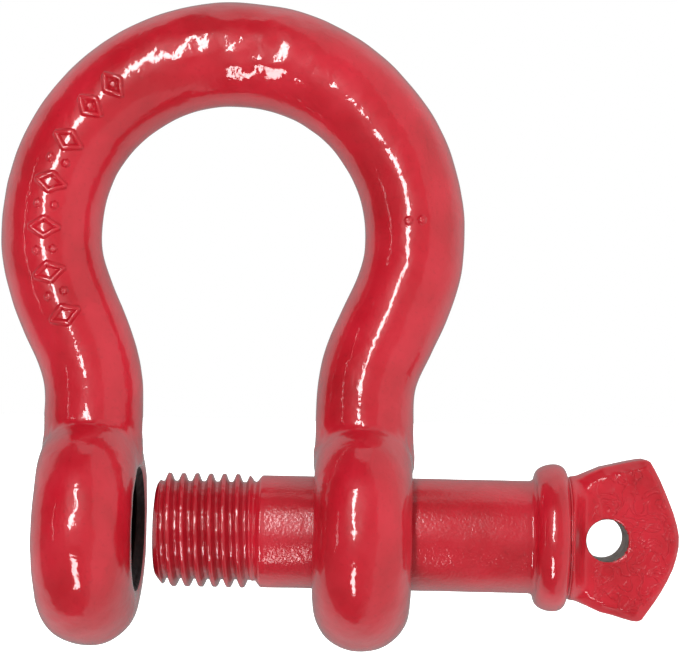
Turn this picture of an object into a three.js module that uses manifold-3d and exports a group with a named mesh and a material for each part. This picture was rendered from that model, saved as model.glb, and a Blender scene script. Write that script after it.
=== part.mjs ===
// Bow (anchor) shackle with a screw pin, bow uppermost, pin unscrewed and
// partly drawn out of the jaw.
//
// Row frame, millimetres: X along the pin towards its eye head, Z up, Y across
// the bow. X = 0 and Y = 0 are the bow's two symmetry planes; Z = 0 is the
// inside of the crown, where a hook or another shackle carries it.
import * as THREE from 'three';
import { mergeVertices } from 'three/addons/utils/BufferGeometryUtils.js';
import Module from 'manifold-3d';

const wasm = await Module();
wasm.setup();

// ---- driving dimensions ---------------------------------------------------
const BOW_OUT_R = 59.65;       // outside radius of the round of the bow
const BOW_ARC_Z = -32.95;      // height of that arc's centre
const BAR_D_CROWN = 26.8;      // bar diameter at the crown
const BAR_D_SIDE = 25.7;       // ... where the bow is widest
const BAR_D_LEG = 25.1;        // ... in the legs
const LEG_X = 34.85;           // leg and ear centre from the middle plane
const PIN_Z = -109.2;          // height of the pin axis

const EAR_R = 29.95;           // ear radius about the pin axis
const EAR_HALF = 12.4;         // half the distance between an ear's faces
const EAR_LAND = 17.6;         // radius of the flat round each bore
const EAR_EXP = 2.15;          // how full the ear's rounded rim is
const PLAIN_BORE_R = 15.25;    // clearance bore of the right ear
const BORE_CHAMFER = 0.9;      // edge break on the plain bore

const PITCH = 3.5;             // thread pitch, right-hand
const THREAD_R = 14.4;         // pin thread crest radius
const ROOT_R = 12.45;          // pin thread root radius
const CREST_W = 0.7;           // width of the crest
const RUN = 0.3;               // clearance between the two threads
const CREST_X = -11.3;         // X of a thread crest at the top of the pin
const TIP_X = -17.9;           // end of the pin
const TIP_R = 12.2;            // radius of the tip after its lead-in chamfer
const THREAD_END = 6.9;        // where the thread runs out
const SHANK_X = 8.9;           // where the plain shank starts
const SHANK_R = 14.3;          // plain shank radius
const MOUTH_R = 15.6;          // countersunk mouths of the threaded ear

const COLLAR_X0 = 78.5;        // collar bead, left
const COLLAR_X1 = 86.7;        // collar bead, right
const COLLAR_R = 18.7;         // collar bead radius
const COLLAR_BORE = 14.6;      // inside of the collar ring
const NECK_X = 87.0;           // neck behind the collar
const NECK_R = 15.7;           // neck radius

const HEAD_HALF = 7.2;         // half thickness of the eye head
const HEAD_EDGE = 2.2;         // rounding of the head's edges
const EYE_X = 96.6;            // eye hole centre
const EYE_R = 5.25;            // eye hole radius
// outline of the fan-shaped head, X and half height
const HEAD = [
  [89.6, 15.1], [90.9, 16.2], [92.3, 17.0], [95.3, 18.3], [98.4, 19.0],
  [101.3, 19.8], [103.9, 20.4], [105.4, 20.5], [106.4, 19.9], [107.5, 18.1],
  [109.1, 15.6], [110.6, 13.0], [112.1, 10.0], [113.4, 7.0], [114.3, 4.0],
  [114.8, 1.3],
];

const TURN = 24;               // facets round a thread or shaft

// ---- helpers --------------------------------------------------------------
function solid(geometry) {
  const g = geometry.clone();
  g.deleteAttribute('normal');
  g.deleteAttribute('uv');
  const m = mergeVertices(g, 1e-4);
  let idx = Uint32Array.from(m.index.array);
  // drop triangles that collapsed on an axis
  const keep = [];
  for (let i = 0; i < idx.length; i += 3) {
    const [a, b, c] = [idx[i], idx[i + 1], idx[i + 2]];
    if (a !== b && b !== c && a !== c) keep.push(a, b, c);
  }
  idx = Uint32Array.from(keep);
  const p = m.attributes.position.array;
  let v = 0;
  for (let i = 0; i < idx.length; i += 3) {
    const [a, b, c] = [idx[i] * 3, idx[i + 1] * 3, idx[i + 2] * 3];
    v += p[a] * (p[b + 1] * p[c + 2] - p[b + 2] * p[c + 1])
      + p[a + 1] * (p[b + 2] * p[c] - p[b] * p[c + 2])
      + p[a + 2] * (p[b] * p[c + 1] - p[b + 1] * p[c]);
  }
  if (v < 0) {
    for (let i = 0; i < idx.length; i += 3) {
      const t = idx[i + 1]; idx[i + 1] = idx[i + 2]; idx[i + 2] = t;
    }
  }
  return new wasm.Manifold(new wasm.Mesh({
    numProp: 3, vertProperties: Float32Array.from(p), triVerts: idx,
  }));
}

function geometryOf(manifold) {
  const m = manifold.getMesh();
  const g = new THREE.BufferGeometry();
  g.setAttribute('position', new THREE.BufferAttribute(Float32Array.from(m.vertProperties), 3));
  g.setIndex(new THREE.BufferAttribute(Uint32Array.from(m.triVerts), 1));
  const out = g.toNonIndexed();
  out.computeVertexNormals();
  return out;
}

// body turned about the X axis at height z; profile is a list of [x, r]
function turned(profile, segments, z = 0) {
  const g = new THREE.LatheGeometry(profile.map(([x, r]) => new THREE.Vector2(r, x)), segments);
  g.rotateZ(-Math.PI / 2);
  g.translate(0, 0, z);
  return g;
}

// closed body swept along the XZ plane: stations carry a centre, the in-plane
// normal and the section's two radii
function swept(stations, around) {
  const pos = [];
  const idx = [];
  for (const s of stations) {
    for (let k = 0; k < around; k += 1) {
      const a = (k / around) * Math.PI * 2;
      const u = s.rn * Math.cos(a);
      pos.push(s.x + s.nx * u, s.ry * Math.sin(a), s.z + s.nz * u);
    }
  }
  const n = stations.length;
  for (let i = 0; i < n - 1; i += 1) {
    for (let k = 0; k < around; k += 1) {
      const a = i * around + k;
      const b = i * around + ((k + 1) % around);
      idx.push(a, b, a + around, b, b + around, a + around);
    }
  }
  for (const [i, flip] of [[0, false], [n - 1, true]]) {
    const c = pos.length / 3;
    pos.push(stations[i].x, 0, stations[i].z);
    for (let k = 0; k < around; k += 1) {
      const a = i * around + k;
      const b = i * around + ((k + 1) % around);
      if (flip) idx.push(c, a, b); else idx.push(c, b, a);
    }
  }
  const g = new THREE.BufferGeometry();
  g.setAttribute('position', new THREE.BufferAttribute(new Float32Array(pos), 3));
  g.setIndex(idx);
  return g;
}

// helical ridge of trapezoid section round the X axis at height z. grow widens
// the whole section for the female thread; fade is the length of the run-out
function ridge(x0, x1, grow, z, fade) {
  const half = THREAD_R - ROOT_R;
  const side = half * Math.tan(Math.PI / 6);
  const wide = grow / Math.cos(Math.PI / 6);
  const crest = CREST_W / 2 + wide - grow * Math.tan(Math.PI / 6);
  const base = CREST_W / 2 + side + wide;
  const deep = 0.7;
  const lower = base + deep * Math.tan(Math.PI / 6) * 0.5;
  const first = Math.round(((x0 - CREST_X) / PITCH) * TURN);
  const last = Math.round(((x1 - CREST_X) / PITCH) * TURN);
  const pos = [];
  const idx = [];
  for (let i = first; i <= last; i += 1) {
    const a = (i / TURN) * Math.PI * 2;
    const x = CREST_X + (i / TURN) * PITCH;
    const in0 = Math.min(1, ((i - first) / TURN) * PITCH / fade);
    const in1 = Math.min(1, ((last - i) / TURN) * PITCH / fade);
    const f = Math.max(0.02, Math.min(in0, in1));
    const rc = ROOT_R + (half + grow) * f;
    const w = crest + (base - crest) * (1 - f);
    const section = [
      [x - lower, ROOT_R - deep], [x - w, rc], [x + w, rc], [x + lower, ROOT_R - deep],
    ];
    for (const [px, r] of section) {
      // angle runs from the top towards -Y, which makes the thread right-hand
      pos.push(px, -r * Math.sin(a), z + r * Math.cos(a));
    }
  }
  const n = last - first + 1;
  for (let i = 0; i < n - 1; i += 1) {
    for (let k = 0; k < 4; k += 1) {
      const a = i * 4 + k;
      const b = i * 4 + ((k + 1) % 4);
      idx.push(a, a + 4, b, b, a + 4, b + 4);
    }
  }
  idx.push(0, 1, 2, 0, 2, 3);
  const e = (n - 1) * 4;
  idx.push(e, e + 2, e + 1, e, e + 3, e + 2);
  const g = new THREE.BufferGeometry();
  g.setAttribute('position', new THREE.BufferAttribute(new Float32Array(pos), 3));
  g.setIndex(idx);
  return g;
}

// flat plate in the XZ plane with a convex outline and quarter-round edges
function slab(outline, cx, halfY, edge, z) {
  const ex = Math.max(...outline.map(([x]) => Math.abs(x - cx)));
  const ez = Math.max(...outline.map(([, h]) => Math.abs(h)));
  const layers = [];
  for (const s of [-1, 1]) {
    for (const deg of s < 0 ? [90, 62, 34, 0] : [0, 34, 62, 90]) {
      const a = THREE.MathUtils.degToRad(deg);
      layers.push([s * (halfY - edge + edge * Math.sin(a)), edge * (1 - Math.cos(a))]);
    }
  }
  const n = outline.length;
  const pos = [];
  const idx = [];
  for (const [y, inset] of layers) {
    for (const [x, h] of outline) {
      pos.push(cx + (x - cx) * (1 - inset / ex), y, z + h * (1 - inset / ez));
    }
  }
  for (let i = 0; i < layers.length - 1; i += 1) {
    for (let k = 0; k < n; k += 1) {
      const a = i * n + k;
      const b = i * n + ((k + 1) % n);
      idx.push(a, b, a + n, b, b + n, a + n);
    }
  }
  for (const [i, flip] of [[0, false], [layers.length - 1, true]]) {
    const c = pos.length / 3;
    pos.push(cx, layers[i][0], z);
    for (let k = 0; k < n; k += 1) {
      const a = i * n + k;
      const b = i * n + ((k + 1) % n);
      if (flip) idx.push(c, a, b); else idx.push(c, b, a);
    }
  }
  const g = new THREE.BufferGeometry();
  g.setAttribute('position', new THREE.BufferAttribute(new Float32Array(pos), 3));
  g.setIndex(idx);
  return g;
}

function mesh(name, geometry, color, roughness, metalness) {
  const m = new THREE.Mesh(geometry, new THREE.MeshStandardMaterial({ color, roughness, metalness }));
  m.name = name;
  return m;
}

// ---- bow ------------------------------------------------------------------
// centreline of the right half, crown first: [x, z, bar diameter]
const half = [];
for (let deg = 0; deg <= 90; deg += 15) {
  const a = THREE.MathUtils.degToRad(deg);
  const d = BAR_D_CROWN + (BAR_D_SIDE - BAR_D_CROWN) * Math.sin(a) ** 1.5;
  const r = BOW_OUT_R - d / 2;
  half.push([r * Math.sin(a), BOW_ARC_Z + r * Math.cos(a), d]);
}
half.push(
  [46.55, -38.1, 25.6], [45.25, -44.4, 25.5], [42.9, -50.9, 25.5],
  [40.1, -57.2, 25.5], [37.4, -63.4, 25.3], [35.6, -69.2, 25.2],
  [34.85, -75.5, BAR_D_LEG], [34.8, -82.0, BAR_D_LEG], [LEG_X, -92.0, BAR_D_LEG],
  [LEG_X, -103.0, BAR_D_LEG - 0.2],
);
const line = [
  ...half.slice(1).reverse().map(([x, z, d]) => [-x, z, d]),
  ...half,
];
const centre = new THREE.CatmullRomCurve3(line.map(([x, z, d]) => new THREE.Vector3(x, d, z)), false, 'centripetal');
centre.arcLengthDivisions = 2000;

const STATIONS = 50;
const stations = [];
for (let i = 0; i <= STATIONS; i += 1) {
  const p = centre.getPointAt(i / STATIONS);
  const t = centre.getTangentAt(i / STATIONS);
  const l = Math.hypot(t.x, t.z);
  const r = p.y / 2;
  stations.push({ x: p.x, z: p.z, nx: -t.z / l, nz: t.x / l, rn: r, ry: r });
}
let bow = solid(swept(stations, 22));

const earProfile = [];
const EAR_STEPS = 14;
earProfile.push([-EAR_HALF, 0]);
for (let i = 0; i <= EAR_STEPS; i += 1) {
  const a = Math.PI * (i / EAR_STEPS) - Math.PI / 2;
  const s = Math.sin(a);
  const c = Math.cos(a);
  const x = EAR_HALF * Math.sign(s) * Math.abs(s) ** (2 / EAR_EXP);
  earProfile.push([x, EAR_LAND + (EAR_R - EAR_LAND) * Math.max(0, c) ** (2 / EAR_EXP)]);
}
earProfile.push([EAR_HALF, 0]);
for (const side of [-1, 1]) {
  const ear = turned(earProfile.map(([x, r]) => [x + side * LEG_X, r]), 36, PIN_Z);
  bow = bow.add(solid(ear));
}

// plain bore of the right ear, edges broken
const rc = PLAIN_BORE_R + BORE_CHAMFER + 2.2;
const faceIn = LEG_X - EAR_HALF;
const faceOut = LEG_X + EAR_HALF;
bow = bow.subtract(solid(turned([
  [faceIn - 2.2, 0], [faceIn - 2.2, rc], [faceIn + BORE_CHAMFER, PLAIN_BORE_R],
  [faceOut - BORE_CHAMFER, PLAIN_BORE_R], [faceOut + 2.2, rc], [faceOut + 2.2, 0],
], 36, PIN_Z)));

// threaded bore of the left ear: the pin's own thread grown by the clearance
const tapIn = -LEG_X + EAR_HALF;
const tapOut = -LEG_X - EAR_HALF;
let tap = solid(turned([
  [tapOut - 4, 0], [tapOut - 4, ROOT_R + RUN], [tapIn + 4, ROOT_R + RUN], [tapIn + 4, 0],
], TURN, PIN_Z));
tap = tap.add(solid(ridge(tapOut - 3, tapIn + 3, RUN, PIN_Z, 0.2)));
const sink = MOUTH_R - ROOT_R - RUN;
for (const [x, dir] of [[tapIn, 1], [tapOut, -1]]) {
  const profile = [
    [x - dir * sink, 0], [x - dir * sink, ROOT_R + RUN], [x, MOUTH_R],
    [x + dir * 2.5, MOUTH_R + 2.5], [x + dir * 2.5, 0],
  ];
  tap = tap.add(solid(turned(profile, TURN, PIN_Z)));
}
bow = bow.subtract(tap);

// ---- screw pin ------------------------------------------------------------
let pin = solid(turned([
  [TIP_X, 0], [TIP_X, TIP_R - 0.5], [TIP_X + 0.5, TIP_R], [TIP_X + 0.9, ROOT_R],
  [SHANK_X - 1.6, ROOT_R], [SHANK_X - 0.2, SHANK_R - 0.5], [SHANK_X + 0.4, SHANK_R],
  [NECK_X + 0.6, SHANK_R], [NECK_X + 0.6, 0],
], TURN, PIN_Z));
const lead = solid(turned([
  [TIP_X, 0], [TIP_X, TIP_R], [TIP_X + THREAD_R - TIP_R, THREAD_R + 0.001],
  [THREAD_END + 2, THREAD_R + 0.001], [THREAD_END + 2, 0],
], TURN, PIN_Z));
pin = pin.add(solid(ridge(TIP_X + 0.2, THREAD_END, 0, PIN_Z, 0.9)).intersect(lead));

// neck: round behind the collar, its front and back pressed in with a cove
// that runs out into the head's flats
let neck = solid(turned([
  [NECK_X, 0], [NECK_X, NECK_R - 0.6], [NECK_X + 0.6, NECK_R], [89.6, 15.8],
  [91.2, 16.3], [92.3, 16.5], [93.6, 16.0], [94.6, 14.0], [94.8, 0],
], 32, PIN_Z));
const cove = [
  [92.4, HEAD_HALF - 0.1], [91.1, 7.8], [90.0, 9.2], [89.1, 11.0], [88.3, 13.2],
  [87.7, 15.6], [87.5, 20], [99, 20], [99, HEAD_HALF - 0.1],
];
for (const side of [-1, 1]) {
  const press = new THREE.ExtrudeGeometry(
    new THREE.Shape(cove.map(([x, y]) => new THREE.Vector2(x, side * y))),
    { depth: 60, bevelEnabled: false },
  );
  press.translate(0, 0, PIN_Z - 30);
  neck = neck.subtract(solid(press));
}
pin = pin.add(neck);

pin = pin.add(solid(slab([...HEAD, ...[...HEAD].reverse().map(([x, h]) => [x, -h])],
  100, HEAD_HALF, HEAD_EDGE, PIN_Z)));

const eye = new THREE.LatheGeometry([
  [0, -17], [EYE_R + 0.5, -17], [EYE_R + 0.5, -HEAD_HALF], [EYE_R, -HEAD_HALF + 0.6],
  [EYE_R, HEAD_HALF - 0.6], [EYE_R + 0.5, HEAD_HALF], [EYE_R + 0.5, 17], [0, 17],
].map(([r, y]) => new THREE.Vector2(r, y)), 28);
eye.translate(EYE_X, 0, PIN_Z);
pin = pin.subtract(solid(eye));

// ---- collar ring of the pin -----------------------------------------------
const beadR = (COLLAR_X1 - COLLAR_X0) / 2;
const beadX = (COLLAR_X0 + COLLAR_X1) / 2;
const collarProfile = [
  [COLLAR_X0 - 1.6, COLLAR_BORE], [COLLAR_X0 - 1.6, COLLAR_BORE + 0.35],
  [COLLAR_X0 - 0.5, COLLAR_BORE + 0.75],
];
for (let i = 1; i <= 8; i += 1) {
  const a = Math.PI * (1 - i / 8) * 0.96 + 0.02 * Math.PI;
  const rise = COLLAR_R - (COLLAR_BORE + 0.9);
  collarProfile.push([beadX + beadR * Math.cos(a), COLLAR_BORE + 0.9 + rise * Math.sin(a) ** 0.8]);
}
collarProfile.push([COLLAR_X1, COLLAR_BORE]);
collarProfile.push([COLLAR_X0 - 1.6, COLLAR_BORE]);
const collar = solid(turned(collarProfile, 32, PIN_Z));

// ---- the object -----------------------------------------------------------
const shackle = new THREE.Group();
shackle.name = 'bow_shackle';
shackle.add(mesh('bow', geometryOf(bow), 0xc4202f, 0.22, 0.0));
shackle.add(mesh('screw_pin', geometryOf(pin), 0xc4202f, 0.22, 0.0));
shackle.add(mesh('pin_collar', geometryOf(collar), 0xc4202f, 0.22, 0.0));

export default shackle;
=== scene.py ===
import math

import bpy
import numpy as np
from mathutils import Matrix, Vector


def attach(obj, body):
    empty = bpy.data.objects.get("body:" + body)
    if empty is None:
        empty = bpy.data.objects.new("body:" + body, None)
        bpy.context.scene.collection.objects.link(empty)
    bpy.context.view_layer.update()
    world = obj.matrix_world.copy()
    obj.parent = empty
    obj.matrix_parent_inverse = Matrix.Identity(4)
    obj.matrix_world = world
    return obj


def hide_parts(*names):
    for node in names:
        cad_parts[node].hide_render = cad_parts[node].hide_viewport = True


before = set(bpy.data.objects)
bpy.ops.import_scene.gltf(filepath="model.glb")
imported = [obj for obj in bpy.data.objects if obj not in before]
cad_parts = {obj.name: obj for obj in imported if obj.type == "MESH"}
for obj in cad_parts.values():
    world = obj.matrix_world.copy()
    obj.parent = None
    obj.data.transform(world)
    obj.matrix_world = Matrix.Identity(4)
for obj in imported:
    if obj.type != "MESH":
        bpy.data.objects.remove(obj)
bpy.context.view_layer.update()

# ---- the shackle's own numbers, millimetres in the row's frame ---------------
PIN_Z = -109.2
LEG_X = 34.85
EAR_R, EAR_HALF, EAR_LAND, EAR_EXP = 29.9, 12.4, 17.6, 2.15
BOW_OUT_R, BOW_ARC_Z = 59.6, -32.95
PITCH, CREST_X = 3.5, -11.3
THREAD_R, ROOT_R = 14.4, 12.45
TIP_X, THREAD_END, SHANK_X, SHANK_R = -17.9, 6.9, 8.9, 14.3
COLLAR_X0, COLLAR_X1, COLLAR_R = 78.5, 86.7, 18.7
NECK_X, NECK_R = 87.0, 15.7
HEAD_HALF, HEAD_EDGE = 7.2, 2.2
EYE_X, EYE_R = 96.6, 5.25
HEAD = [
    (89.6, 15.1), (90.9, 16.2), (92.3, 17.0), (95.3, 18.3), (98.4, 19.0),
    (101.3, 19.8), (103.9, 20.4), (105.4, 20.5), (106.4, 19.9), (107.5, 18.1),
    (109.1, 15.6), (110.6, 13.0), (112.1, 10.0), (113.4, 7.0), (114.3, 4.0),
    (114.8, 1.3),
]

rng = np.random.default_rng(71)


# ---- small numeric helpers ---------------------------------------------------
def smooth(a, b, x):
    t = np.clip((x - a) / (b - a), 0.0, 1.0)
    return t * t * (3 - 2 * t)


def smin(a, b, k):
    h = np.maximum(k - np.abs(a - b), 0.0) / k
    return np.minimum(a, b) - h * h * k * 0.25


def smax(a, b, k):
    return -smin(-a, -b, k)


def waves(count, wavelength, seed):
    """A smooth isotropic random field, as directions, phases and wave numbers."""
    r = np.random.default_rng(seed)
    d = r.normal(size=(count, 3))
    d /= np.linalg.norm(d, axis=1)[:, None]
    k = 2 * math.pi / (wavelength * r.uniform(0.75, 1.35, count))
    return d * k[:, None], r.uniform(0, 2 * math.pi, count)


def field(p, spec):
    k, ph = spec
    out = np.zeros(len(p))
    for a, b in zip(k, ph):
        out += np.sin(p[:, 0] * a[0] + p[:, 1] * a[1] + p[:, 2] * a[2] + b)
    return out / math.sqrt(len(ph) / 2)


LUMPS = waves(14, 21.0, 3)
RIPPLE = waves(18, 8.5, 5)
FORGED = waves(22, 4.2, 9)
FINE = waves(22, 2.6, 15)


# ---- centreline of the bow ---------------------------------------------------
def spline(x, y):
    """Second derivatives of the natural cubic through the points."""
    n = len(x)
    a = np.zeros((n, n))
    b = np.zeros(n)
    a[0, 0] = a[-1, -1] = 1.0
    for i in range(1, n - 1):
        h0, h1 = x[i] - x[i - 1], x[i + 1] - x[i]
        a[i, i - 1], a[i, i], a[i, i + 1] = h0 / 6, (h0 + h1) / 3, h1 / 6
        b[i] = (y[i + 1] - y[i]) / h1 - (y[i] - y[i - 1]) / h0
    return np.linalg.solve(a, b)


def at(x, y, m, q):
    i = np.clip(np.searchsorted(x, q) - 1, 0, len(x) - 2)
    h = x[i + 1] - x[i]
    a, b = (x[i + 1] - q) / h, (q - x[i]) / h
    return a * y[i] + b * y[i + 1] + ((a**3 - a) * m[i] + (b**3 - b) * m[i + 1]) * h * h / 6


half = []
for deg in range(0, 91, 15):
    a = math.radians(deg)
    d = 26.8 + (25.7 - 26.8) * math.sin(a) ** 1.5
    r = BOW_OUT_R - d / 2
    half.append((r * math.sin(a), BOW_ARC_Z + r * math.cos(a), d))
half += [
    (46.55, -38.1, 25.6), (45.25, -44.4, 25.5), (42.9, -50.9, 25.5),
    (40.1, -57.2, 25.5), (37.4, -63.4, 25.3), (35.6, -69.2, 25.2),
    (34.85, -75.5, 25.1), (34.8, -82.0, 25.1), (34.85, -92.0, 25.1),
    (34.85, -103.0, 24.6),
]
pts = np.array([(-x, z, d) for x, z, d in half[:0:-1]] + half)
chord = np.concatenate([[0], np.cumsum(np.hypot(*np.diff(pts[:, :2], axis=0).T))])
q = np.linspace(0, chord[-1], 2400)
CL = np.stack([at(chord, pts[:, i], spline(chord, pts[:, i]), q) for i in range(3)], 1)
CS = np.concatenate([[0], np.cumsum(np.hypot(*np.diff(CL[:, :2], axis=0).T))])
CT = np.gradient(CL[:, :2], CS, axis=0)
CT /= np.linalg.norm(CT, axis=1)[:, None]


def nearest(x, z):
    """Arc length of the nearest centreline point, coarse."""
    sub = CL[::12]
    out = np.empty(len(x))
    for i in range(0, len(x), 20000):
        d = (x[i:i + 20000, None] - sub[None, :, 0]) ** 2 + (z[i:i + 20000, None] - sub[None, :, 1]) ** 2
        out[i:i + 20000] = CS[::12][d.argmin(1)]
    return out


def on_line(x, z, s):
    """The arc length refined, and the distance to the centreline."""
    for _ in range(3):
        cx, cz = np.interp(s, CS, CL[:, 0]), np.interp(s, CS, CL[:, 1])
        tx, tz = np.interp(s, CS, CT[:, 0]), np.interp(s, CS, CT[:, 1])
        s = np.clip(s + 0.8 * ((x - cx) * tx + (z - cz) * tz), 0, CS[-1])
    cx, cz = np.interp(s, CS, CL[:, 0]), np.interp(s, CS, CL[:, 1])
    return s, np.hypot(x - cx, z - cz), cx, cz


# ---- signed distances --------------------------------------------------------
def ear(x, y, z, side):
    """A disc with flat lands round the bore and a full round rim."""
    u = np.abs(x - side * LEG_X) / EAR_HALF
    v = np.maximum(np.hypot(y, z - PIN_Z) - EAR_LAND, 0.0) / (EAR_R - EAR_LAND)
    e = EAR_EXP
    f = np.maximum(u**e + v**e, 1e-9)
    g = f ** (1 / e)
    slope = f ** (1 / e - 1) * np.hypot(u ** (e - 1) / EAR_HALF, v ** (e - 1) / (EAR_R - EAR_LAND))
    return (g - 1) / np.maximum(slope, 1e-3)


def bow_sdf(p, s):
    x, y, z = p.T
    s, d, _, _ = on_line(x, z, s)
    r = np.interp(s, CS, CL[:, 2]) / 2
    up = z - PIN_Z
    bar = np.hypot(d, y) - r
    ears = np.minimum(ear(x, y, z, -1), ear(x, y, z, 1))
    f = smin(bar, ears, 1.7)
    # paint gathers raggedly in the crease over each ear
    crease = smooth(2.2, 0.4, np.abs(bar - ears)) * smooth(16.0, 20.0, up)
    rad = np.hypot(y, up)
    bore = np.where(x < 0, 15.45, 15.25) + np.clip(np.abs(np.abs(x) - LEG_X) - 11.7, 0, 1.6) - rad
    f = smax(f, np.where(np.abs(x) > 15, bore, -50.0), 0.8)
    near = smooth(60.0, 34.0, up)
    crown = smooth(-30, -14, x) * smooth(27, 15, x) * smooth(2, 9, z) * smooth(3.0, 8.0, -y)
    f = f - (0.055 - 0.015 * near) * field(p, LUMPS) - (0.028 + 0.006 * near + 0.062 * crown) * field(p, RIPPLE)
    f = f - 0.012 * field(p, FORGED) * (smooth(-60, 0, z) + 1.9 * crown) - 0.010 * near * field(p, FORGED)
    return f - 0.06 * crease * field(p, FINE)


def lean(x):
    """The trimmed corners of the forging aren't quite level."""
    return float(smooth(97.0, 105.0, np.array(x)) * smooth(113.5, 106.5, np.array(x)))


OUT = np.array([(x + 1.0 * lean(x), h) for x, h in HEAD] + [(x - 0.5 * lean(x), -h) for x, h in HEAD[::-1]])


def outline(x, z):
    """Signed distance to the head's outline."""
    best = np.full(len(x), 1e9)
    inside = np.zeros(len(x), bool)
    n = len(OUT)
    for i in range(n):
        ax, az = OUT[i]
        bx, bz = OUT[(i + 1) % n]
        ex, ez = bx - ax, bz - az
        t = np.clip(((x - ax) * ex + (z - az) * ez) / (ex * ex + ez * ez), 0, 1)
        best = np.minimum(best, np.hypot(x - ax - t * ex, z - az - t * ez))
        cond = (az > z) != (bz > z)
        cross = (bx - ax) * (z - az) / (bz - az + 1e-12) + ax
        inside ^= cond & (x < cross)
    return np.where(inside, -best, best)


NX = [86.9, 87.6, 88.3, 89.2, 90.2, 91.5, 93.0, 94.2, 95.2]
NR = [15.7, 15.75, 15.8, 15.85, 16.05, 16.3, 16.1, 14.6, 11.0]
NB = [15.7, 15.5, 14.7, 13.3, 12.2, 11.4, 10.8, 10.0, 8.0]
WX = [87.2, 87.7, 88.3, 89.1, 90.0, 91.1, 92.6]
WY = [17.5, 15.6, 13.2, 11.0, 9.2, 7.8, 7.1]


def head_sdf(p, _s):
    x, y, z = p[:, 0], p[:, 1], p[:, 2] - PIN_Z
    e = HEAD_EDGE
    a, b = outline(x, z), np.abs(y) - HEAD_HALF
    cut = e + 0.2 - 1.1 * smooth(104.0, 108.5, x)
    plate = smax(smax(a, b, 0.7), (a + b + cut) * 0.7071, 0.4)
    r = np.hypot(y, z)
    # the neck: round behind the collar, pressed in front and back with a cove
    big = np.interp(x, NX, NR)
    deep = np.interp(x, NX, NB)
    round_ = (np.hypot(y * big / deep, z) - big) * 0.85
    wall = (np.abs(y) - np.interp(x, WX, WY)) * np.interp(x, [87.0, 92.6], [0.35, 1.0])
    neck = smax(smax(round_, NECK_X - x, 0.9), smax(wall, x - 94.6, 0.5), 0.9)
    f = smin(neck, plate, 1.6)
    hole = EYE_R - np.hypot(x - EYE_X, z)
    f = smax(f, hole, 0.7)
    f = smax(f, NECK_X - x, 0.6)
    flat = smooth(92.0, 95.0, x) * smooth(6.4, 6.9, np.abs(y))
    out = smooth(EYE_R + 0.2, EYE_R + 2.0, np.hypot(x - EYE_X, z))
    f = f - flat * out * (0.030 * field(p, FORGED) + 0.034 * field(p, FINE))
    return f - 0.012 * field(p, RIPPLE)


# ---- meshing -----------------------------------------------------------------
def nets(sdf, lo, hi, h, guess=None):
    """A quad mesh of the zero surface, pulled onto it exactly."""
    lo, hi = np.array(lo, float), np.array(hi, float)
    n = np.ceil((hi - lo) / h).astype(int) + 1
    ax = [lo[i] + h * np.arange(n[i]) for i in range(3)]
    gx, gz = np.meshgrid(ax[0], ax[2], indexing="ij")
    s2 = guess(gx.ravel(), gz.ravel()) if guess else np.zeros(gx.size)
    f = np.empty((n[0], n[1], n[2]), np.float32)
    for j in range(n[1]):
        p = np.stack([gx.ravel(), np.full(gx.size, ax[1][j]), gz.ravel()], 1)
        f[:, j, :] = sdf(p, s2).reshape(gx.shape)
    f[np.abs(f) < 1e-6] = 1e-6
    s = f < 0
    tot = np.zeros(n - 1, np.int8)
    for a in range(2):
        for b in range(2):
            for c in range(2):
                tot += s[a:n[0] - 1 + a, b:n[1] - 1 + b, c:n[2] - 1 + c]
    mask = (tot > 0) & (tot < 8)
    ijk = np.argwhere(mask)
    index = np.full(mask.shape, -1, np.int64)
    index[mask] = np.arange(len(ijk))
    acc, cnt = np.zeros((len(ijk), 3)), np.zeros(len(ijk))
    for axis in range(3):
        o1, o2 = [i for i in range(3) if i != axis]
        for a in range(2):
            for b in range(2):
                c0 = np.zeros(3, int)
                c0[o1], c0[o2] = a, b
                c1 = c0.copy()
                c1[axis] = 1
                f0 = f[tuple((ijk + c0).T)]
                f1 = f[tuple((ijk + c1).T)]
                hit = (f0 < 0) != (f1 < 0)
                t = f0[hit] / (f0[hit] - f1[hit])
                w = np.tile(c0.astype(float), (hit.sum(), 1))
                w[:, axis] += t
                acc[hit] += w
                cnt[hit] += 1
    v = (ijk + acc / cnt[:, None]) * h + lo
    faces = []
    for axis in range(3):
        o1, o2 = (axis + 1) % 3, (axis + 2) % 3
        a = np.moveaxis(s, axis, 0)
        change = np.moveaxis(a[:-1] != a[1:], 0, axis)
        sl = [slice(None)] * 3
        sl[o1] = sl[o2] = slice(1, -1)
        pos = np.argwhere(change[tuple(sl)])
        pos[:, o1] += 1
        pos[:, o2] += 1
        neg = s[tuple(pos.T)]
        quad = []
        for da, db in ((0, 0), (-1, 0), (-1, -1), (0, -1)):
            c = pos.copy()
            c[:, o1] += da
            c[:, o2] += db
            quad.append(index[tuple(c.T)])
        quad = np.stack(quad, 1)
        quad[~neg] = quad[~neg][:, ::-1]
        faces.append(quad)
    faces = np.concatenate(faces)
    edges = np.concatenate([faces[:, [0, 1]], faces[:, [1, 2]], faces[:, [2, 3]], faces[:, [3, 0]]])
    deg = np.bincount(edges.ravel(), minlength=len(v))[:, None]
    s0 = guess(v[:, 0], v[:, 2]) if guess else np.zeros(len(v))

    def pull(v):
        e = 0.01
        f0 = sdf(v, s0)
        g = np.stack([sdf(v + e * np.eye(3)[i], s0) - f0 for i in range(3)], 1) / e
        l2 = np.maximum((g * g).sum(1), 0.05)
        step = np.clip(f0 / l2, -0.6, 0.6)
        return v - g * step[:, None]

    for turn in range(3):
        add = np.zeros_like(v)
        np.add.at(add, edges[:, 0], v[edges[:, 1]])
        np.add.at(add, edges[:, 1], v[edges[:, 0]])
        v = v + 0.6 * (add / deg - v)
        v = pull(v)
    v = pull(v)
    return v, faces


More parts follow.
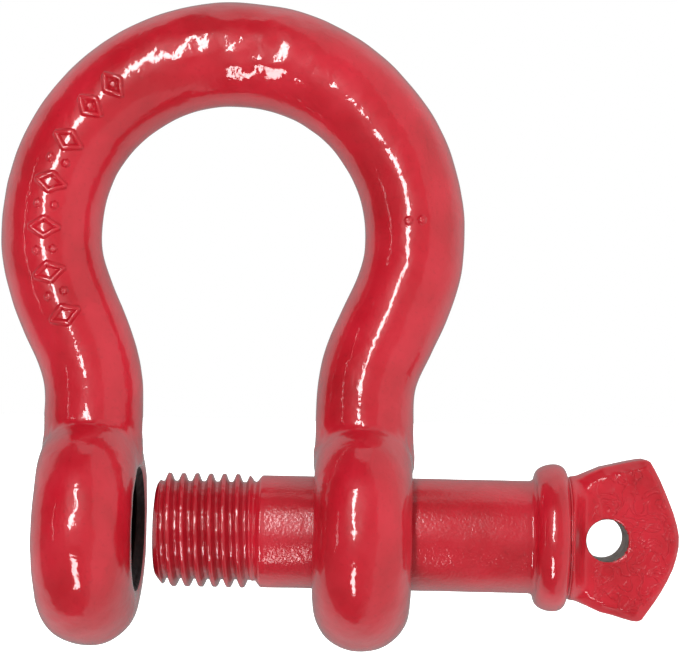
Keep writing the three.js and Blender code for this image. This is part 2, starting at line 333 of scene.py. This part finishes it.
def piece(name, verts, faces, body, mats, index=None):
    me = bpy.data.meshes.new(name)
    me.from_pydata((np.asarray(verts) / 1000).tolist(), [], np.asarray(faces).tolist() if isinstance(faces, np.ndarray) else faces)
    me.update()
    for m in mats:
        me.materials.append(m)
    if index is not None:
        me.polygons.foreach_set("material_index", np.asarray(index, np.int32))
    me.polygons.foreach_set("use_smooth", np.ones(len(me.polygons), bool))
    ob = bpy.data.objects.new(name, me)
    bpy.context.scene.collection.objects.link(ob)
    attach(ob, body)
    return ob


def revolve(profile, radius, around):
    """Closed skin round the pin axis: profile holds x, radius(x, r, angle) the
    radius; both ends close on the axis."""
    n = len(profile)
    ang = 2 * math.pi * np.arange(around) / around
    rows = []
    for x, r in profile:
        rr = radius(np.full(around, x), np.full(around, r), ang)
        rows.append(np.stack([np.full(around, x), -rr * np.sin(ang), PIN_Z + rr * np.cos(ang)], 1))
    v = np.concatenate(rows + [np.array([[profile[0][0], 0, PIN_Z], [profile[-1][0], 0, PIN_Z]])])
    f = []
    for i in range(n - 1):
        for k in range(around):
            a, b = i * around + k, i * around + (k + 1) % around
            f.append((a, b, b + around, a + around))
    e0, e1 = n * around, n * around + 1
    for k in range(around):
        f.append((e0, (k + 1) % around, k))
        f.append((e1, (n - 1) * around + k, (n - 1) * around + (k + 1) % around))
    return v, f


# ---- materials ---------------------------------------------------------------
def tree(name):
    m = bpy.data.materials.new(name)
    m.use_nodes = True
    nt = m.node_tree
    return m, nt, nt.nodes["Principled BSDF"]


def noise(nt, scale, detail, rough, vec, distort=0.0):
    n = nt.nodes.new("ShaderNodeTexNoise")
    n.inputs["Scale"].default_value = scale
    n.inputs["Detail"].default_value = detail
    n.inputs["Roughness"].default_value = rough
    n.inputs["Distortion"].default_value = distort
    nt.links.new(vec, n.inputs["Vector"])
    return n.outputs["Fac"]


def ramp(nt, src, stops):
    n = nt.nodes.new("ShaderNodeValToRGB")
    el = n.color_ramp.elements
    while len(el) < len(stops):
        el.new(0.5)
    for e, (pos, col) in zip(el, stops):
        e.position = pos
        e.color = (*col, 1)
    nt.links.new(src, n.inputs["Fac"])
    return n.outputs["Color"]


def maprange(nt, src, a, b, c, d):
    n = nt.nodes.new("ShaderNodeMapRange")
    for k, v in zip(("From Min", "From Max", "To Min", "To Max"), (a, b, c, d)):
        n.inputs[k].default_value = v
    nt.links.new(src, n.inputs["Value"])
    return n.outputs["Result"]


def bump(nt, height, strength, distance, normal=None):
    n = nt.nodes.new("ShaderNodeBump")
    n.inputs["Strength"].default_value = strength
    n.inputs["Distance"].default_value = distance
    nt.links.new(height, n.inputs["Height"])
    if normal is not None:
        nt.links.new(normal, n.inputs["Normal"])
    return n.outputs["Normal"]


def enamel(name, peel=1.0, pimple=0.0, gloss=0.02, tone=1.0):
    """Thick glossy red enamel: colour drifts with the coat's thickness, and the
    surface carries a little orange peel and dust."""
    m, nt, b = tree(name)
    tc = nt.nodes.new("ShaderNodeTexCoord").outputs["Object"]
    cloud = noise(nt, 55, 3, 0.55, tc, 0.4)
    col = ramp(nt, cloud, [
        (0.30, (0.430 * tone, 0.0042 * tone, 0.0122 * tone)),
        (0.50, (0.520 * tone, 0.0058 * tone, 0.0180 * tone)),
        (0.72, (0.600 * tone, 0.0100 * tone, 0.0275 * tone)),
    ])
    speck = noise(nt, 900, 2, 0.5, tc)
    mix = nt.nodes.new("ShaderNodeMix")
    mix.data_type = "RGBA"
    mix.blend_type = "MULTIPLY"
    nt.links.new(col, mix.inputs["A"])
    nt.links.new(ramp(nt, speck, [(0.24, (0.78, 0.70, 0.70)), (0.42, (1, 1, 1))]), mix.inputs["B"])
    mix.inputs["Factor"].default_value = 0.5
    nt.links.new(mix.outputs["Result"], b.inputs["Base Color"])
    nt.links.new(maprange(nt, noise(nt, 190, 4, 0.6, tc), 0.3, 0.7, 0.30, 0.44), b.inputs["Roughness"])
    b.inputs["Coat Weight"].default_value = 1.0
    b.inputs["Coat Roughness"].default_value = gloss
    b.inputs["Coat IOR"].default_value = 1.52
    b.inputs["Specular IOR Level"].default_value = 0.35
    wave = noise(nt, 240, 2, 0.5, tc, 0.6)
    fine = noise(nt, 720, 3, 0.55, tc, 0.2)
    n1 = bump(nt, wave, 0.22 * peel, 0.0006)
    n2 = bump(nt, fine, 0.10 * peel, 0.0003, n1)
    if pimple:
        n2 = bump(nt, noise(nt, 1150, 2, 0.5, tc, 0.3), pimple, 0.0004, n2)
    nt.links.new(n2, b.inputs["Normal"])
    nt.links.new(n2, b.inputs["Coat Normal"])
    return m


def bare(name, lo, hi, metal, rough):
    """Unpainted forged steel with old oil and mill scale."""
    m, nt, b = tree(name)
    tc = nt.nodes.new("ShaderNodeTexCoord").outputs["Object"]
    n = noise(nt, 420, 5, 0.65, tc, 0.3)
    nt.links.new(ramp(nt, n, [(0.32, lo), (0.68, hi)]), b.inputs["Base Color"])
    nt.links.new(maprange(nt, noise(nt, 700, 3, 0.6, tc), 0.3, 0.7, rough - 0.1, rough + 0.15), b.inputs["Roughness"])
    b.inputs["Metallic"].default_value = metal
    nt.links.new(bump(nt, n, 0.35, 0.0005), b.inputs["Normal"])
    return m


RED = enamel("red_enamel_bow")
RED_PIN = enamel("red_enamel_pin", 0.8)
RED_SHANK = enamel("red_enamel_shank", 0.7, 0.20, 0.20)
# the threaded end's enamel is painted darker (tone 0.84): painted shade standing in for the shade in the thread's
# grooves
RED_THREAD_SHADED = enamel("red_enamel_thread_painted_shade", 0.8, 0.1, 0.05, 0.84)
RED_HEAD = enamel("red_enamel_head", 0.8, 0.06, 0.13, 1.05)
RED_HEAD.node_tree.nodes["Principled BSDF"].inputs["Coat Weight"].default_value = 0.6
# the pressed flats of the head keep the wormy texture of the scale under the paint
hn = RED_HEAD.node_tree
hb = hn.nodes["Principled BSDF"]
hc = hn.nodes.new("ShaderNodeTexCoord").outputs["Object"]
hs = hn.nodes.new("ShaderNodeSeparateXYZ")
hn.links.new(hc, hs.inputs[0])
depth = hn.nodes.new("ShaderNodeMath")
depth.operation = "ABSOLUTE"
hn.links.new(hs.outputs["Y"], depth.inputs[0])
on_flat = hn.nodes.new("ShaderNodeMath")
on_flat.operation = "MULTIPLY"
hn.links.new(maprange(hn, depth.outputs[0], 0.0067, 0.0071, 0, 1), on_flat.inputs[0])
hn.links.new(maprange(hn, hs.outputs["X"], 0.0920, 0.0960, 0, 1), on_flat.inputs[1])
worm = hn.nodes.new("ShaderNodeMath")
worm.operation = "MULTIPLY"
hn.links.new(ramp(hn, noise(hn, 250, 2, 0.45, hc, 1.4), [(0.44, (0, 0, 0)), (0.50, (1, 1, 1)), (0.57, (0.1, 0.1, 0.1))]), worm.inputs[0])
hn.links.new(on_flat.outputs[0], worm.inputs[1])
old = hb.inputs["Normal"].links[0].from_socket
hn.links.new(bump(hn, worm.outputs[0], 0.55, 0.0004, old), hb.inputs["Normal"])
hn.links.new(bump(hn, worm.outputs[0], 0.13, 0.0003, old), hb.inputs["Coat Normal"])
STEEL = bare("bare_steel_eye", (0.16, 0.13, 0.115), (0.36, 0.32, 0.29), 0.55, 0.5)
# bare threads of the left ear's bore; their near-black colour and dim specular are also painted shade, standing in
# for the shade deep in the bore round the pin
THREAD_AND_BORE_SHADE = bare("oiled_thread_and_painted_bore_shade", (0.006, 0.0025, 0.0025), (0.024, 0.010, 0.009), 0.0, 0.5)
THREAD_AND_BORE_SHADE.node_tree.nodes["Principled BSDF"].inputs["Specular IOR Level"].default_value = 0.12

# ---- bow ---------------------------------------------------------------------
STEP = 0.8
v, f = nets(bow_sdf, (-62, -32.5, -142), (62, 32.5, 29.5), STEP, nearest)
bow = piece("bow_forging", v, f, "bow", [RED])
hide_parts("bow")


def thread_r(x, ang, crest, root, soft):
    """Radius of the helical thread at x and at an angle from the top towards -Y."""
    u = (x - CREST_X) / PITCH - ang / (2 * math.pi)
    w = np.abs(u - np.round(u)) * PITCH
    return root + (crest - root) * smooth(0.5 * PITCH - soft, soft, w)


# the threaded bore's own skin, a sleeve let into the ear
AR = 144
ang = 2 * math.pi * np.arange(AR) / AR
END = 12.05
xs = np.linspace(-LEG_X - END, -LEG_X + END, 129)
rows = []
for x in xs:
    r = thread_r(x, ang, 14.72, 12.85, 0.32)
    mouth = 15.5 - (END - abs(x + LEG_X)) * 1.2
    r = np.maximum(r, mouth)
    rows.append(np.stack([np.full(AR, x), -r * np.sin(ang), PIN_Z + r * np.cos(ang)], 1))
inner = len(rows)
for x in (xs[-1], xs[0]):
    r = np.full(AR, 16.2)
    rows.append(np.stack([np.full(AR, x), -r * np.sin(ang), PIN_Z + r * np.cos(ang)], 1))
v = np.concatenate(rows)
f = []
n = len(rows)
for i in range(n):
    for k in range(AR):
        a, b = i * AR + k, i * AR + (k + 1) % AR
        d, e = ((i + 1) % n) * AR + k, ((i + 1) % n) * AR + (k + 1) % AR
        f.append((a, d, e, b))
# the sleeve carries the near-black thread colour, partly painted shade of the bore
sleeve = piece("ear_thread", v, f, "bow", [THREAD_AND_BORE_SHADE])
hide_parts("bow")

# ---- pin: tip, thread, shank -------------------------------------------------
def shank_r(x, r, ang):
    p = np.stack([x, -r * np.sin(ang), r * np.cos(ang)], 1)
    t = thread_r(x, ang, THREAD_R + 0.05, ROOT_R, 0.28)
    fade = smooth(THREAD_END + 0.6, THREAD_END - 1.6, x)
    core = ROOT_R + 0.2
    t = core + (t - core) * fade
    body = np.where(x < SHANK_X + 1.5, t, 0)
    plain = r
    out = np.where(x > THREAD_END + 0.4, plain, np.minimum(body, plain))
    wob = 0.02 * field(p, RIPPLE) * smooth(SHANK_X, SHANK_X + 4, x) + 0.035 * field(p, FINE) * smooth(SHANK_X, TIP_X + 20, x)
    return out + wob


prof = [(TIP_X, 0.5), (TIP_X, 8.0), (TIP_X, 11.3)]
prof += [(TIP_X + 0.12, 11.75), (TIP_X + 0.4, 12.2)]
for x in np.arange(TIP_X + 0.6, THREAD_END + 0.4, 0.15):
    prof.append((x, 12.25 + (x - TIP_X - 0.4) * 1.05 if x < TIP_X + 3 else 99.0))
g0 = THREAD_END + 0.5
for x in np.arange(g0, SHANK_X + 1.2, 0.12):
    prof.append((x, ROOT_R + 0.2 + (SHANK_R - ROOT_R - 0.2) * float(smooth(THREAD_END + 0.5, SHANK_X + 0.3, np.array(x)))))
prof += [(x, SHANK_R) for x in np.arange(SHANK_X + 1.4, COLLAR_X0 - 1.4, 0.9)]
for t in np.linspace(0, 1, 9):
    a = t * math.pi / 2
    prof.append((COLLAR_X0 - 1.4 + 1.4 * math.sin(a), SHANK_R + 1.4 * (1 - math.cos(a))))
prof.append((COLLAR_X0 + 3.0, SHANK_R + 1.4))
v, f = revolve(prof, shank_r, 160)
plain = [min(v[q][0] for q in p) > SHANK_X + 1.2 and max(v[q][0] for q in p) < COLLAR_X0 - 2.0 for p in f]
# faces of the threaded end take the darker enamel, the painted shade of the thread's grooves
cut = [1 if q else 2 if max(v[k][0] for k in p) < THREAD_END - 0.6 else 0 for p, q in zip(f, plain)]
shank = piece("pin_shank", v, f, "pin", [RED_PIN, RED_SHANK, RED_THREAD_SHADED], cut)
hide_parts("screw_pin")

# ---- pin: collar bead --------------------------------------------------------
mid, rad = (COLLAR_X0 + COLLAR_X1) / 2, (COLLAR_X1 - COLLAR_X0) / 2
prof = [(COLLAR_X0 + 0.5, 14.0)]
for i in range(33):
    a = math.pi * (1 - i / 32)
    prof.append((mid + rad * math.cos(a) + 0.6 * max(math.sin(a), 0) ** 2, 15.0 + (COLLAR_R - 15.0) * max(math.sin(a), 0) ** 0.72))
prof += [(COLLAR_X1 + 0.1, 15.6), (COLLAR_X1 + 0.55, 15.55), (COLLAR_X1 + 0.55, 14.6)]


def bead_r(x, r, ang):
    p = np.stack([x, -r * np.sin(ang), r * np.cos(ang)], 1)
    return r + 0.035 * field(p, RIPPLE) + 0.012 * field(p, FORGED)


v, f = revolve(prof, bead_r, 144)
bead = piece("collar_bead", v, f, "collar", [RED_PIN])
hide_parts("pin_collar")

# ---- pin: neck and eye head --------------------------------------------------
v, f = nets(head_sdf, (84.5, -18.5, PIN_Z - 24), (118, 18.5, PIN_Z + 24), 0.5)
c = v[f].mean(1)
hole = (np.hypot(c[:, 0] - EYE_X, c[:, 2] - PIN_Z) < EYE_R + 0.16) & (np.abs(c[:, 1]) < HEAD_HALF + 3)
head = piece("pin_head", v, f, "pin", [RED_HEAD, STEEL], hole.astype(int))
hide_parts("screw_pin")

# ---- generic raised forging marks on the bow's front -------------------------
def on_bow(s, w):
    """A point of the bow's front at arc length s and across-bar distance w (out
    of the bow positive), and the outward normal there."""
    s, w = np.asarray(s, float), np.asarray(w, float)
    cx, cz = np.interp(s, CS, CL[:, 0]), np.interp(s, CS, CL[:, 1])
    tx, tz = np.interp(s, CS, CT[:, 0]), np.interp(s, CS, CT[:, 1])
    r = np.interp(s, CS, CL[:, 2]) / 2
    a = w / r
    nx, nz = -tz, tx
    n = np.stack([nx * np.sin(a), -np.cos(a), nz * np.sin(a)], 1)
    p = np.stack([cx, np.zeros_like(cx), cz], 1) + n * r[:, None]
    for _ in range(2):
        f0 = bow_sdf(p, s)
        g = np.stack([bow_sdf(p + 0.01 * np.eye(3)[i], s) - f0 for i in range(3)], 1) / 0.01
        p = p - g * (f0 / (g * g).sum(1))[:, None]
    return p, g / np.linalg.norm(g, axis=1)[:, None]


def stroke(path, width, height, closed=False):
    """A soft raised ridge along a path of (s, w) points."""
    path = np.array(path, float)
    if closed:
        path = np.concatenate([path, path[:1]])
    seg = np.hypot(*np.diff(path, axis=0).T)
    total = seg.sum()
    m = max(6, int(total / 0.35))
    cum = np.concatenate([[0], np.cumsum(seg)])
    q = np.linspace(0, total, m, endpoint=not closed)
    px, pw = np.interp(q, cum, path[:, 0]), np.interp(q, cum, path[:, 1])
    if closed:
        dx, dw = np.roll(px, -1) - np.roll(px, 1), np.roll(pw, -1) - np.roll(pw, 1)
    else:
        dx, dw = np.gradient(px), np.gradient(pw)
    l = np.hypot(dx, dw)
    dx, dw = dx / l, dw / l
    lat = np.linspace(-1, 1, 13)
    prof_h = height * np.exp(-((np.abs(lat) / 0.62) ** 3.0)) - 0.06
    rows = []
    for i in range(m):
        end = 1.0 if closed else min(1.0, math.sqrt(max(0.0, 1 - max(0, 1 - min(q[i], total - q[i]) / (width * 0.62)) ** 2)))
        wd = width * max(0.12, end)
        p, nrm = on_bow(px[i] - dw[i] * lat * wd, pw[i] + dx[i] * lat * wd)
        hgt = prof_h * (0.15 + 0.85 * end)
        rows.append(np.concatenate([p + nrm * hgt[:, None], (p - nrm * 0.5)[::-1]]))
    n = rows[0].shape[0]
    v = np.concatenate(rows)
    f = []
    loop = m if closed else m - 1
    for i in range(loop):
        j = (i + 1) % m
        for k in range(n):
            a, b = i * n + k, i * n + (k + 1) % n
            c, d = j * n + k, j * n + (k + 1) % n
            f.append((a, c, d, b))
    if not closed:
        f.append(tuple(range(n)))
        f.append(tuple((m - 1) * n + k for k in range(n - 1, -1, -1)))
    return v, f


def arc_at(x, z):
    return float(nearest(np.array([x]), np.array([z]))[0])


def ring(s0, w0, rs, rw, n=20):
    return [(s0 + rs * math.cos(2 * math.pi * i / n), w0 + rw * math.sin(2 * math.pi * i / n)) for i in range(n)]


marks = []
s0 = arc_at(-43.2, -50.0) - 6.2
W = 1.1
for i in range(9):
    s = s0 + 5.75 * i
    if i % 2 == 0:
        marks.append(([(s - 2.3, 0), (s, -3.8), (s + 2.3, 0), (s, 3.8)], True))
    else:
        marks.append((ring(s, -2.1, 0.42, 0.42, 10), True))
        marks.append((ring(s, 2.1, 0.42, 0.42, 10), True))
s1 = arc_at(-33.0, 0.5)
for ds in (-3.9, 3.9):
    marks.append(([(s1 + ds - 2.3, 0.5), (s1 + ds, -3.0), (s1 + ds + 2.3, 0.5), (s1 + ds, 4.0)], True))
    marks.append((ring(s1 + ds, 0.5, 0.4, 0.4, 10), True))
s2 = arc_at(46.8, -29.5)
marks.append((ring(s2, -1.7, 0.45, 0.45, 10), True))
marks.append((ring(s2, 1.7, 0.45, 0.45, 10), True))
verts, faces, base = [], [], 0
for path, closed in marks:
    v, f = stroke(path, W, 0.9, closed)
    verts.append(v)
    faces += [tuple(i + base for i in q) for q in f]
    base += len(v)
tally = piece("raised_tally_marks", np.concatenate(verts), faces, "bow", [RED])
bpy.context.view_layer.update()

# ---- floor, light, camera ----------------------------------------------------
def stage_material():
    m, nt, b = tree("studio_floor")
    tc = nt.nodes.new("ShaderNodeTexCoord").outputs["Object"]
    nt.links.new(ramp(nt, noise(nt, 3, 3, 0.5, tc), [(0.3, (0.86, 0.86, 0.86)), (0.7, (0.90, 0.90, 0.90))]), b.inputs["Base Color"])
    b.inputs["Roughness"].default_value = 0.8
    b.inputs["Emission Color"].default_value = (1, 1, 1, 1)
    sep = nt.nodes.new("ShaderNodeSeparateXYZ")
    nt.links.new(tc, sep.inputs[0])
    # seen directly it is plain white; on the object it throws a soft light
    glow = maprange(nt, sep.outputs["Y"], -0.25, 0.15, 0.04, 0.12)
    lp = nt.nodes.new("ShaderNodeLightPath")
    pick = nt.nodes.new("ShaderNodeMix")
    pick.data_type = "FLOAT"
    nt.links.new(lp.outputs["Is Camera Ray"], pick.inputs["Factor"])
    nt.links.new(glow, pick.inputs["A"])
    pick.inputs["B"].default_value = 0.95
    nt.links.new(pick.outputs["Result"], b.inputs["Emission Strength"])
    return m


me = bpy.data.meshes.new("studio_floor")
FZ = -0.175
me.from_pydata([(-6, -6, FZ), (6, -6, FZ), (6, 6, FZ), (-6, 6, FZ)], [], [(0, 1, 2, 3)])
me.materials.append(stage_material())
floor = bpy.data.objects.new("studio_floor", me)
bpy.context.scene.collection.objects.link(floor)
floor.visible_glossy = False

world = bpy.data.worlds.new("studio")
bpy.context.scene.world = world
world.use_nodes = True
nt = world.node_tree
bg = nt.nodes["Background"]
tc = nt.nodes.new("ShaderNodeTexCoord").outputs["Generated"]
sep = nt.nodes.new("ShaderNodeSeparateXYZ")
nt.links.new(tc, sep.inputs[0])


def op(kind, *args):
    n = nt.nodes.new("ShaderNodeMath")
    n.operation = kind
    for i, a in enumerate(args):
        if isinstance(a, (int, float)):
            n.inputs[i].default_value = a
        else:
            nt.links.new(a, n.inputs[i])
    return n.outputs[0]


def step(src, a, b, lo, hi):
    n = nt.nodes.new("ShaderNodeMapRange")
    n.interpolation_type = "SMOOTHSTEP"
    for key, v in zip(("From Min", "From Max", "To Min", "To Max"), (a, b, lo, hi)):
        n.inputs[key].default_value = v
    nt.links.new(src, n.inputs["Value"])
    return n.outputs["Result"]


# a pale room behind the object and on its right, dim round the camera
X, Y, Z = sep.outputs["X"], sep.outputs["Y"], sep.outputs["Z"]
flat = op("SQRT", op("ADD", op("MULTIPLY", X, X), op("MULTIPLY", Y, Y)))
side = op("DIVIDE", X, op("MAXIMUM", flat, 0.001))
behind = op("MULTIPLY", step(Y, 0.03, 0.12, 0.0, 0.70), step(Y, 0.45, 0.985, 1.0, 0.46))
right_side = op("MULTIPLY", step(side, 0.42, 0.56, 0.0, 0.60), step(Y, 0.05, 0.15, 1.0, 0.0))
right_near = op("MULTIPLY", step(side, -0.12, 0.40, 0.0, 0.26), step(Y, 0.0, 0.1, 1.0, 0.0))
above = step(Z, 0.965, 0.985, 0.0, 0.8)
level = op("MAXIMUM", op("MAXIMUM", behind, above), op("MAXIMUM", right_side, op("MAXIMUM", right_near, 0.04)))
lp = nt.nodes.new("ShaderNodeLightPath")
level = op("MULTIPLY", level, op("ADD", op("MULTIPLY", lp.outputs["Is Diffuse Ray"], step(Y, 0.0, 0.2, 0.0, 1.15)), 1.0))
mix = nt.nodes.new("ShaderNodeMix")
mix.data_type = "RGBA"
nt.links.new(lp.outputs["Is Camera Ray"], mix.inputs["Factor"])
nt.links.new(level, mix.inputs["A"])
mix.inputs["B"].default_value = (1, 1, 1, 1)
nt.links.new(mix.outputs["Result"], bg.inputs["Color"])
bg.inputs["Strength"].default_value = 1.0


def area(name, direction, dist, width, height, power, target=(0.0, 0.0, -0.05), roll=0.0):
    """A soft light seen from the target along a direction (azimuth from the
    camera's side towards +X, elevation), in degrees."""
    az, el = math.radians(direction[0]), math.radians(direction[1])
    d = Vector((math.sin(az) * math.cos(el), -math.cos(az) * math.cos(el), math.sin(el)))
    li = bpy.data.lights.new(name, "AREA")
    li.shape = "RECTANGLE"
    li.size, li.size_y = width, height
    li.energy = power
    ob = bpy.data.objects.new(name, li)
    ob.location = Vector(target) + d * dist
    ob.rotation_euler = (-d).to_track_quat("-Z", "Y").to_euler()
    ob.rotation_euler.rotate_axis("Z", roll)
    bpy.context.scene.collection.objects.link(ob)
    return ob


area("key_strip", (-12, 20), 1.3, 0.15, 1.04, 10.0)
area("low_strip", (-12, -44), 1.3, 0.13, 0.76, 5.4)
area("edge_left", (-55, 3), 1.3, 0.022, 0.7, 0.32)
bounce = area("bounce_right", (58, 8), 1.4, 1.2, 1.2, 5.0)
bounce.visible_glossy = False

# camera: as close to the photograph's view as its outline tells
TX, TZ, D, ROLL, YAW, TILT, S = 27.868, -56.50, 520.0, 0.0205, 0.0179, 0.0311, 3.894
cy, sy, cp, sp = math.cos(YAW), math.sin(YAW), math.cos(TILT), math.sin(TILT)
right = Vector((cy, sy, 0))
fwd = Vector((-sy * cp, cy * cp, sp))
up = Vector((sy * sp, -cy * sp, cp))
cr, sr = math.cos(ROLL), math.sin(ROLL)
r2, u2 = cr * right + sr * up, -sr * right + cr * up
pos = (Vector((TX, 0, TZ)) - D * fwd) / 1000
cam = bpy.data.cameras.new("camera")
cam.sensor_width = 36
cam.lens = S * D / 679 * 36
cam.clip_start = 0.01
co = bpy.data.objects.new("camera", cam)
rot = Matrix((r2, u2, -fwd)).transposed()
co.matrix_world = Matrix.Translation(pos) @ rot.to_4x4()
bpy.context.scene.collection.objects.link(co)
bpy.context.scene.camera = co
bpy.context.scene.view_settings.view_transform = "Standard"
